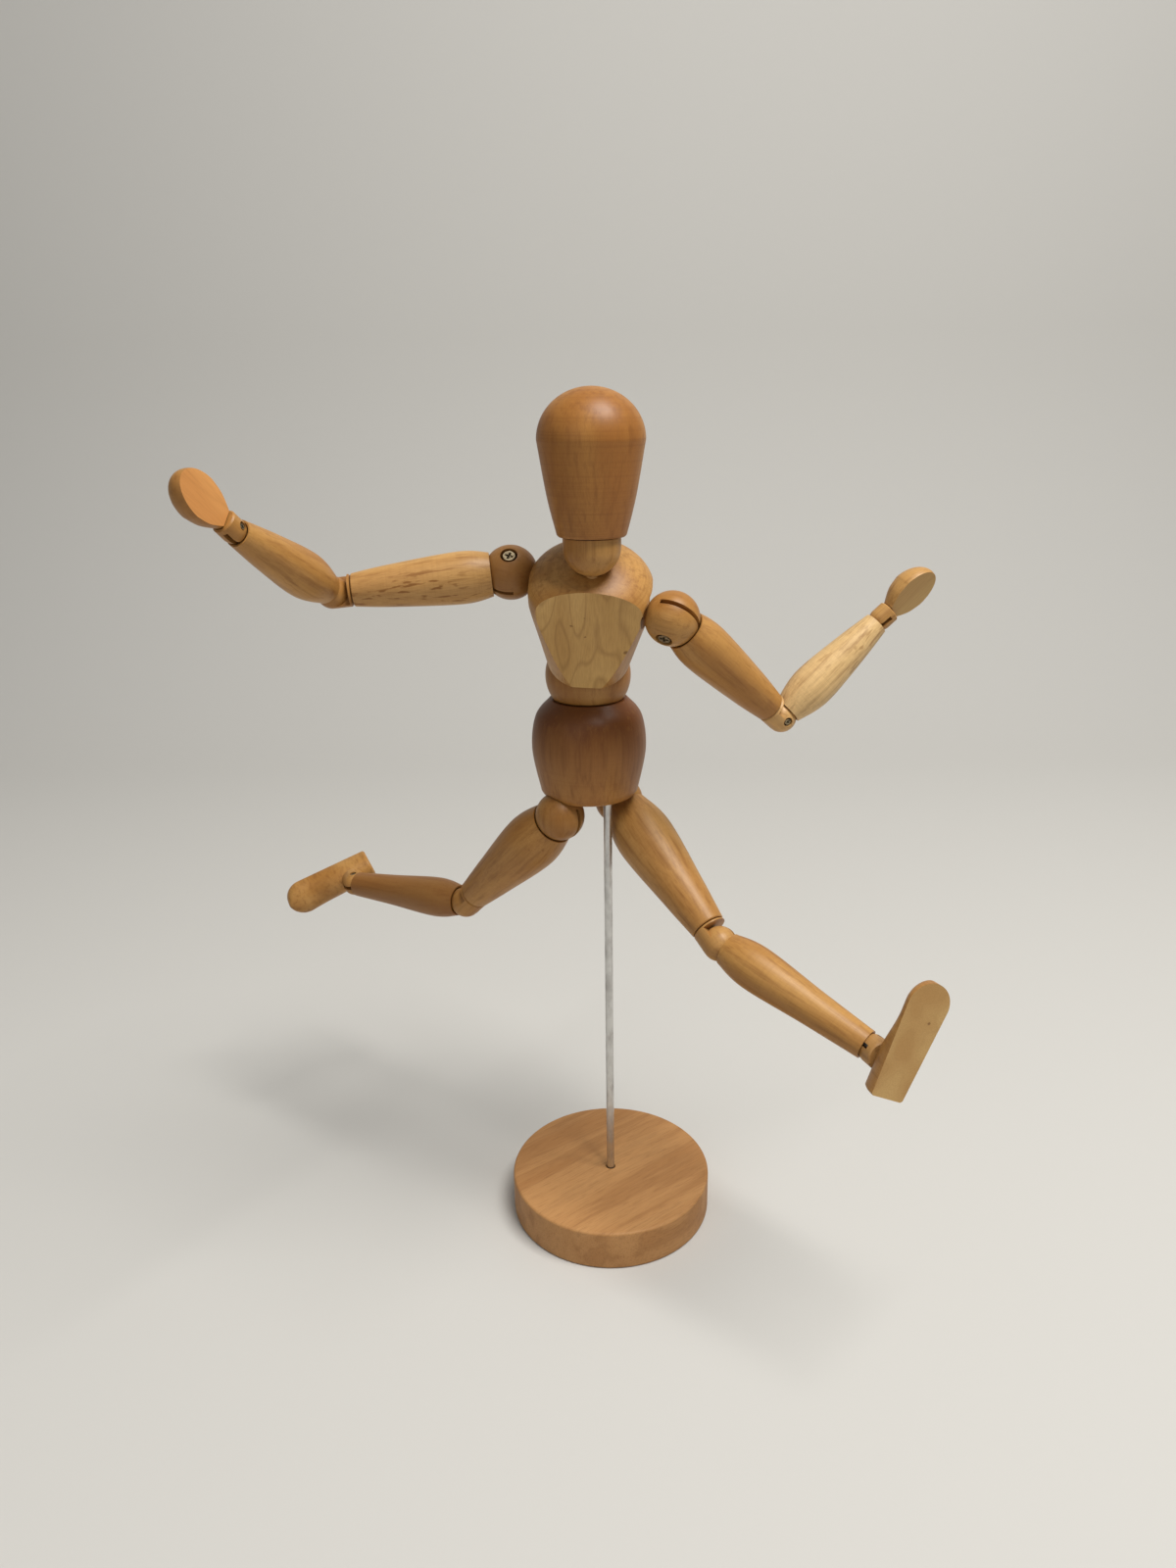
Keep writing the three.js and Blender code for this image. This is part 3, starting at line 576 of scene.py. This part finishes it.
def handShape(size):
    form = handForm
    start = size["flat"] + clearance
    bore, floor = size["spigot"] + clearance, start + size["spigotLength"] + clearance
    belly, bellyAt, length = form["belly"], form["bellyAt"], form["length"]
    heel = throughPoints([(form["wrist"], start), (belly * 0.84, (start + bellyAt) / 2),
                          (belly, bellyAt)], 24)
    quarter = [math.pi / 2 * i / 24 for i in range(1, 24)]
    fingers = [(belly * math.cos(a), bellyAt + (length - bellyAt) * math.sin(a)) for a in quarter]
    hollow = [(0, floor), (bore, floor), (bore, start)]
    body = turnedShape(hollow + heel + fingers + [(0, length)], facets["torso"])
    carve(body, block((-20, -20, -40), (20, -form["palm"], 40)))
    return body


# Feet: slipper forms on a flat sole, cut square at the heel

footForm = dict(length=31, heel=7.6, width=12, heelWidth=9.4, height=7.4, toeHeight=4.4, round=2.05, edge=0.5)


def footShape(size):
    form = footForm
    top = size["flat"] + clearance
    sole = top + form["height"]
    toe = form["heel"] - form["length"]
    ball = toe + form["width"] / 2
    shape = bmesh.new()
    rings = []
    sections, around = 60, 40
    for i in range(sections + 1):
        t = i / sections
        y = form["heel"] + (toe - form["heel"]) * (1 - math.cos(math.pi * t)) / 2
        share = max(0.0, min(1.0, (form["heel"] - y) / (form["heel"] - ball)))
        half = (form["heelWidth"] + (form["width"] - form["heelWidth"]) * share) / 2
        if y < ball:
            half = math.sqrt(max(0.0, (form["width"] / 2) ** 2 - (ball - y) ** 2))
        slope = max(0.0, min(1.0, (-size["radius"] * 0.6 - y) / (form["width"] * 1.05)))
        slope = slope * slope * (3 - 2 * slope)
        height = form["height"] + (form["toeHeight"] - form["height"]) * slope
        if y < ball:
            height *= 0.35 + 0.65 * math.sqrt(max(0.0, half / (form["width"] / 2)))
        nip = form["edge"] * max(0.0, 1 - (form["heel"] - y) / form["edge"])
        half = max(0.02, half - nip)
        ring = []
        for k in range(around + 1):
            a = math.pi * k / around
            c, s = math.cos(a), math.sin(a)
            x = half * math.copysign(abs(c) ** (2 / form["round"]), c)
            z = sole - (height - nip) * s ** (2 / form["round"])
            ring.append(shape.verts.new((x, y, z)))
        rings.append(ring)
    for a, b in zip(rings, rings[1:]):
        for k in range(around):
            shape.faces.new((a[k], a[k + 1], b[k + 1], b[k]))
        shape.faces.new((a[around], a[0], b[0], b[around]))
    shape.faces.new(rings[0])
    shape.faces.new(rings[-1][::-1])
    bmesh.ops.remove_doubles(shape, verts=shape.verts, dist=1e-4)
    bmesh.ops.recalc_face_normals(shape, faces=shape.faces)
    body = shapeObject("foot", shape)
    carve(body, rod(size["spigot"] + clearance, top - 2, top + size["spigotLength"] + clearance))
    return body


def sawnNormal(node):
    # the way the widest flat of the node faces
    areas = {}
    for face in frame["nodes"][node].data.polygons:
        key = tuple(round(c, 2) for c in face.normal)
        areas[key] = areas.get(key, 0) + face.area
    return Vector(max(areas, key=areas.get)).normalized()


def middleOf(node):
    low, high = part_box(node)
    return (Vector(low) + Vector(high)) / 2 / millimetre


looks = {
    "right_upper_arm": dict(tone=1.15, flecked=1.0, seed=1),
    "left_upper_arm": dict(tone=0.95, flecked=0.3, seed=2),
    "right_forearm": dict(tone=0.9, flecked=0.3, seed=3),
    "left_forearm": dict(tone=1.8, flecked=0.45, seed=4),
    "right_thigh": dict(tone=0.95, flecked=0.3, seed=5), "left_thigh": dict(tone=1.05, flecked=0.3, seed=6),
    "right_calf": dict(tone=0.5, flecked=0.3, seed=7), "left_calf": dict(tone=1.0, flecked=0.3, seed=8),
    "right_shoulder_ball": dict(tone=0.45, seed=11), "left_shoulder_ball": dict(tone=0.9, seed=12),
    "right_hip_ball": dict(tone=0.7, seed=13), "left_hip_ball": dict(tone=0.9, seed=14),
    "right_elbow_knuckle": dict(tone=0.8, seed=15), "left_elbow_knuckle": dict(tone=1.3, seed=16),
    "right_knee_knuckle": dict(tone=1.0, seed=17), "left_knee_knuckle": dict(tone=1.1, seed=18),
    "right_wrist_knuckle": dict(tone=0.9, seed=19), "left_wrist_knuckle": dict(tone=1.1, seed=20),
    "right_ankle_knuckle": dict(tone=0.9, seed=21), "left_ankle_knuckle": dict(tone=1.2, seed=22),
    "right_hand": dict(tone=0.75, seed=31, face=palmFinish), "left_hand": dict(tone=1.1, seed=30),
    "right_foot": dict(tone=1.0, seed=33), "left_foot": dict(tone=0.95, seed=32, face=soleFinish),
}
knotted = {"right_thigh": thighFinish}


def limb(side, root, first, mid, second, end, last):
    def name(part):
        return f"{side}_{part}"

    rootAt, midAt, endAt = (where(name(f"{part}_bend")) for part in (root, mid, end))
    rootAxis, midAxis, endAxis = (axisOf(name(f"{part}_bend")) for part in (root, mid, end))
    firstWay, secondWay = midAt - rootAt, endAt - midAt
    spigots = []
    for part, way in ((root, firstWay), (mid, secondWay), (end, secondWay)):
        along = axisOf(name(f"{part}_swivel"))
        spigots.append(along if along.dot(way) > 0 else -along)
    heads = {}
    for part, at, across in ((root, rootAt, rootAxis), (mid, midAt, midAxis), (end, endAt, endAxis)):
        toHead = (middleOf(name(f"{part}_screw")) - at).dot(across)
        heads[part] = across if toHead > 0 else -across
    balls = {root: basis(rootAt, spigots[0], heads[root])}
    bend = basis(midAt, spigots[1], midAxis)
    inside = midAxis if secondWay.dot(bend.col[1].to_3d()) < 0 else -midAxis
    balls[mid] = basis(midAt, spigots[1], inside)
    balls[end] = basis(endAt, -spigots[2], heads[end])
    words = {root: "ball", mid: "knuckle", end: "knuckle"}
    for part in (root, mid, end):
        size = knuckles[part]
        headSide = 1 if heads[part].dot(balls[part].col[0].to_3d()) > 0 else -1
        body = knuckleShape(size, headSide)
        node = name(f"{part}_{words[part]}")
        place(body, node, balls[part], limbFinish, flecked=0.2, **looks[node])
        screw = screwShape(size, headSide)
        place(screw, name(f"{part}_screw"), balls[part], screwFinish)
    place(limbShape(first, knuckles[root], knuckles[mid]), name(first), basis(rootAt, firstWay, rootAxis),
          knotted.get(name(first), limbFinish), **looks[name(first)])
    place(limbShape(second, knuckles[mid], knuckles[end]), name(second), basis(midAt, secondWay, midAxis),
          limbFinish, **looks[name(second)])
    if last == "hand":
        away = -sawnNormal(name(last))
        across = away.cross(spigots[2])
        place(handShape(knuckles[end]), name(last), basis(endAt, spigots[2], across), limbFinish,
              sharp=40, flat=(0, -1, 0, handForm["palm"]), **looks[name(last)])
    else:
        toe = middleOf(name(last)) - endAt
        across = spigots[2].cross(toe)
        reach = knuckles[end]["flat"] + clearance + footForm["height"]
        place(footShape(knuckles[end]), name(last), basis(endAt, spigots[2], across), limbFinish,
              sharp=40, flat=(0, 0, 1, reach), **looks[name(last)])
    print(side, first, "to", last, "made")


for side in ("right", "left"):
    limb(side, "shoulder", "upper_arm", "elbow", "forearm", "wrist", "hand")
    limb(side, "hip", "thigh", "knee", "calf", "ankle", "foot")


# Torso: pelvis, waist, chest, neck and head, each turned

pelvisForm = dict(height=28.7, bottom=14, edge=3.2, widest=16.3, widestAt=14, top=11.3, hip=10.8, drop=4.5,
                  boreFloor=19, rodBore=1.5, rodDepth=14.3)
waistForm = dict(radius=12, drop=6.4, flare=4.2, bore=2.5)
chestForm = dict(widest=16.3, widestAt=33.8, crown=8.5, cup=56, wall=1.2, facetTop=9.2, facetBottom=10.7,
                 shoulderAt=31.3, sink=1.5, groove=0.9, waistBore=3, waistBoreFrom=22, waistBoreTo=26.3,
                 neckBoreFloor=34, shoulderBore=2.5, shoulderBoreReach=17)
neckForm = dict(radius=7.2, collar=2.3, bore=2)
headForm = dict(height=34.6, bottom=8.6, widest=13.1, widestAt=22.6, edge=0.4, boreDepth=8.3)


def pelvisShape():
    form = pelvisForm
    skin = throughPoints([(form["bottom"], form["edge"] * 0.6), (form["widest"], form["widestAt"]),
                          (form["widest"] * 0.93, (form["widestAt"] + form["height"]) * 0.55),
                          (form["top"], form["height"] - 0.3)])
    edge = [(form["bottom"] - form["edge"], 0), (form["bottom"] - form["edge"] * 0.35, form["edge"] * 0.15)]
    foot = throughPoints(edge + [skin[0]], 10)
    bore, floor = waistForm["bore"], form["boreFloor"]
    hollow = [(form["top"] - 0.3, form["height"]), (bore, form["height"]), (bore, floor), (0, floor)]
    body = turnedShape([(0, 0)] + foot + skin[1:] + hollow, facets["torso"])
    hip = knuckles["hip"]
    spigotTop = hip["radius"] + hip["spigotLength"] - form["drop"] + clearance
    for x in (-form["hip"], form["hip"]):
        carve(body, ballShape(hip["radius"] + clearance, (x, 0, -form["drop"])))
        bore = rod(hip["spigot"] + clearance, -form["drop"], spigotTop)
        carve(body, turnTo(bore, Matrix.Translation((x, 0, 0))))
    return body


hipLine = where("left_hip_bend") - where("right_hip_bend")
hipMiddle = (where("left_hip_bend") + where("right_hip_bend")) / 2
pelvisAt = basis(hipMiddle + Vector((0, 0, pelvisForm["drop"])), Vector((0, 0, 1)), hipLine)
pelvis = pelvisShape()
rodSpot = pelvisAt.inverted() @ Vector((0, 0, pelvisAt.translation.z))
carve(pelvis, turnTo(rod(pelvisForm["rodBore"], -1, pelvisForm["rodDepth"]), Matrix.Translation(rodSpot)))
place(pelvis, "pelvis", pelvisAt, pelvisFinish)

waistAt = where("waist_lean")
chestWay = where("neck_nod") - waistAt
crownDrop = neckForm["radius"] - chestForm["sink"]
foot = math.degrees(math.acos(-waistForm["drop"] / waistForm["radius"]))
flare = math.degrees(math.asin(waistForm["flare"] / waistForm["radius"]))
waistSkin = arc(waistForm["radius"], 0, foot, flare, 50)
waistLoop = [(waistForm["bore"], -waistForm["drop"])] + waistSkin + [
    (waistForm["bore"], waistSkin[-1][1] - 2.5), (waistForm["bore"], -waistForm["drop"])]
waistFrame = basis(waistAt, Vector((0, 0, 1)), hipLine)
place(turnedShape(waistLoop, facets["torso"]), "waist", waistFrame, limbFinish, tone=0.75, seed=51)


def chestShape(twists):
    form = chestForm
    cup = waistForm["radius"] + clearance
    rim = arc(cup, 0, form["cup"] - 6, form["cup"], 4)
    lipR, lipZ = rim[-1][0] + form["wall"], rim[-1][1]
    crown = [(form["widest"] * math.cos(a), form["widestAt"] + form["crown"] * math.sin(a))
             for a in (math.pi / 2 * i / 40 for i in range(34))]
    side = throughPoints([(lipR, lipZ), ((lipR + form["widest"]) / 2, lipZ * 0.55 + form["widestAt"] * 0.45),
                          (form["widest"] * 0.985, form["widestAt"] * 0.88), crown[0]], 40)
    neckAt = form["widestAt"] + form["crown"] + crownDrop
    seat = neckForm["radius"] + clearance
    edge = 180 - math.degrees(math.acos(crownDrop / seat)) + 3
    bowl = arc(seat, neckAt, edge, 180 - math.degrees(math.asin(neckForm["bore"] / seat)), 10)
    bore, top, floor = form["waistBore"], form["waistBoreTo"], form["neckBoreFloor"]
    below = [(0, top), (bore, top), (bore, form["waistBoreFrom"])]
    above = [(neckForm["bore"], floor), (0, floor)]
    body = turnedShape(below + rim + side + crown[1:] + bowl + above, facets["torso"])
    tilt = math.atan((form["facetBottom"] - form["facetTop"]) / (form["widestAt"] - lipZ))
    saw = turnTo(block((-30, -40, -60), (30, 0, 60)), Matrix.Rotation(-tilt, 4, "X"))
    carve(body, turnTo(saw, Matrix.Translation((0, -form["facetTop"], form["widestAt"]))))
    ball = knuckles["shoulder"]["radius"] + form["groove"]
    # each cut is a hair wider than the one before, so that no two share a surface
    for i, (right, left) in enumerate(twists):
        hair = 0.01 * i
        carve(body, ballShape(ball + hair, right))
        carve(body, ballShape(ball + hair, left))
        bore = rod(form["shoulderBore"] + hair, -form["shoulderBoreReach"], form["shoulderBoreReach"])
        turn = (left - right).to_track_quat("Z", "Y").to_matrix().to_4x4()
        carve(body, turnTo(bore, Matrix.Translation((0, 0, form["shoulderAt"])) @ turn))
    return body, tilt


facetWay = sawnNormal("chest")
chestAt = basis(waistAt, chestWay, (-facetWay).cross(chestWay))
twist = joints["shoulder_twist"]
span = [math.radians(v) for v in twist["range_deg"]]
swings = [span[0] + (span[1] - span[0]) * i / 4 for i in range(5)]
twistAxis = axisOf("shoulder_twist")
pivot = where("shoulder_twist")
seats = []
for swing in swings:
    pair = (where(ball) - pivot for ball in ("right_shoulder_bend", "left_shoulder_bend"))
    swung = (Matrix.Rotation(swing, 3, twistAxis) @ reach for reach in pair)
    seats.append([chestAt.inverted() @ (pivot + reach) for reach in swung])
chest, facetTilt = chestShape(seats)
facetNormal = Vector((0, -math.cos(facetTilt), math.sin(facetTilt)))
facetReach = facetNormal.dot(Vector((0, -chestForm["facetTop"], chestForm["widestAt"])))
place(chest, "chest", chestAt, chestFinish, tone=0.95, seed=52, flat=(*facetNormal, facetReach),
      face=facetFinish)

neckAt, headAt = where("neck_nod"), where("head_turn")
upright = axisOf("head_turn") if axisOf("head_turn").z > 0 else -axisOf("head_turn")
neck = turnedShape(arc(neckForm["radius"], 0, 180, 90, 24) + [(neckForm["radius"], neckForm["collar"]),
                   (0, neckForm["collar"])], facets["torso"])
carve(neck, rod(neckForm["bore"], 0, 9))
neckFrame = basis(neckAt, upright, hipLine)
downTo = neckFrame.inverted().to_3x3() @ -chestWay.normalized()
for share in (1, 0.67, 0.34):
    way = Vector((0, 0, -1)).lerp(downTo, share).normalized()
    carve(neck, turnTo(rod(neckForm["bore"], -1, 15), way.to_track_quat("Z", "Y").to_matrix().to_4x4()))
place(neck, "neck", neckFrame, limbFinish, tone=0.85, seed=53)

form = headForm
crown = [(form["widest"] * math.cos(a), form["widestAt"] + (form["height"] - form["widestAt"]) * math.sin(a))
         for a in (math.pi / 2 * i / 40 for i in range(40))] + [(0, form["height"])]
side = throughPoints([(form["bottom"], form["edge"]),
                      ((form["bottom"] + form["widest"]) / 2, form["widestAt"] * 0.42), crown[0]], 40)
bore, floor = neckForm["bore"], form["boreDepth"]
hollow = [(0, floor), (bore, floor), (bore, 0), (form["bottom"] - form["edge"], 0)]
head = turnedShape(hollow + side + crown[1:], facets["torso"])
place(head, "head", basis(headAt, upright, hipLine), headFinish, tone=0.9, seed=54)
print("torso and head made")


# Stand

baseForm = dict(radius=31.2, height=12.7, edge=0.8, rod=1.2, depth=9)
form = baseForm


def brokenEdge(z, way):
    turn = [math.pi / 2 * i / 8 for i in range(9)]
    inner, edge = form["radius"] - form["edge"], form["edge"]
    return [(inner + edge * math.sin(a), z + way * (edge - edge * math.cos(a))) for a in turn]


bore, floor = form["rod"] + clearance, form["height"] - form["depth"]
baseProfile = ([(0, 0)] + brokenEdge(0, 1) + brokenEdge(form["height"], -1)[::-1]
               + [(bore, form["height"]), (bore, floor), (0, floor)])
place(turnedShape(baseProfile, facets["base"]), "base", Matrix.Identity(4), baseFinish)
low, high = (c / millimetre for c in (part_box("rod")[0][2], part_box("rod")[1][2]))
place(rod(form["rod"], low, high, 48), "rod", Matrix.Identity(4), rodFinish)
for name, node in frame["nodes"].items():
    if name.endswith(("_tab", "_spring")):
        node.data.materials.clear()
        node.data.materials.append(tabFinish)
print("stand made")


# Floor, backdrop, light and camera

stageForm = dict(wide=4.0, near=-1.2, wall=0.75, cove=0.3, high=2.4, floor=srgb(200, 198, 193))


def stageShape(form):
    outline = [(form["near"], 0.0), (form["wall"] - form["cove"], 0.0)]
    for i in range(1, 13):
        a = math.pi / 2 * i / 12
        outline.append((form["wall"] - form["cove"] + form["cove"] * math.sin(a),
                        form["cove"] - form["cove"] * math.cos(a)))
    outline.append((form["wall"], form["high"]))
    shape = bmesh.new()
    rows = [[shape.verts.new((x, y, z)) for x in (-form["wide"] / 2, form["wide"] / 2)] for y, z in outline]
    for a, b in zip(rows, rows[1:]):
        shape.faces.new((a[0], a[1], b[1], b[0]))
    floor = shapeObject("floor", shape)
    floor.data.shade_smooth()
    paint = Finish("paleFloor")
    floor.data.materials.append(paint.surface({"Base Color": form["floor"], "Roughness": 0.8,
                                               "Specular IOR Level": 0.1}))


def softLamp(name, spot, aim, watts, size, colour):
    data = bpy.data.lights.new(name, "AREA")
    data.energy, data.size, data.color = watts, size, colour
    lamp = bpy.data.objects.new(name, data)
    lamp.location = spot
    lamp.rotation_euler = (Vector(aim) - Vector(spot)).to_track_quat("-Z", "Y").to_euler()
    bpy.context.scene.collection.objects.link(lamp)


stageShape(stageForm)
figureMiddle = (0, 0, 0.14)
softLamp("overheadRight", (0.34, -0.26, 1.15), figureMiddle, 16.0, 0.55, (1.0, 0.985, 0.96))
softLamp("frontFill", (-0.5, -1.0, 0.6), figureMiddle, 1.2, 0.9, (1.0, 0.99, 0.98))
world = bpy.data.worlds.new("room")
world.use_nodes = True
sky = world.node_tree.nodes["Background"].inputs
sky["Color"].default_value, sky["Strength"].default_value = (0.85, 0.86, 0.87, 1), 0.25
bpy.context.scene.world = world
bpy.context.scene.view_settings.view_transform = "Standard"

cameraForm = dict(spot=(0.0, -0.2978, 0.2465), pan=-1.06, pitch=19.15, roll=-0.84, focal=1132.7, tall=1600)


def takeView(form):
    pan, pitch, roll = (math.radians(form[k]) for k in ("pan", "pitch", "roll"))
    ahead = Vector((math.sin(pan), math.cos(pan), 0))
    level = Vector((math.cos(pan), -math.sin(pan), 0))
    look = ahead * math.cos(pitch) - Vector((0, 0, 1)) * math.sin(pitch)
    tilted = ahead * math.sin(pitch) + Vector((0, 0, 1)) * math.cos(pitch)
    right = level * math.cos(roll) + tilted * math.sin(roll)
    up = tilted * math.cos(roll) - level * math.sin(roll)
    data = bpy.data.cameras.new("view")
    data.sensor_fit, data.sensor_height = "VERTICAL", 24.0
    data.lens = form["focal"] / form["tall"] * data.sensor_height
    data.clip_start = 0.01
    camera = bpy.data.objects.new("view", data)
    turned = Matrix((right, up, -look)).transposed().to_4x4()
    turned.translation = Vector(form["spot"])
    camera.matrix_world = turned
    bpy.context.scene.collection.objects.link(camera)
    bpy.context.scene.camera = camera


takeView(cameraForm)
print("stage, light and camera set")
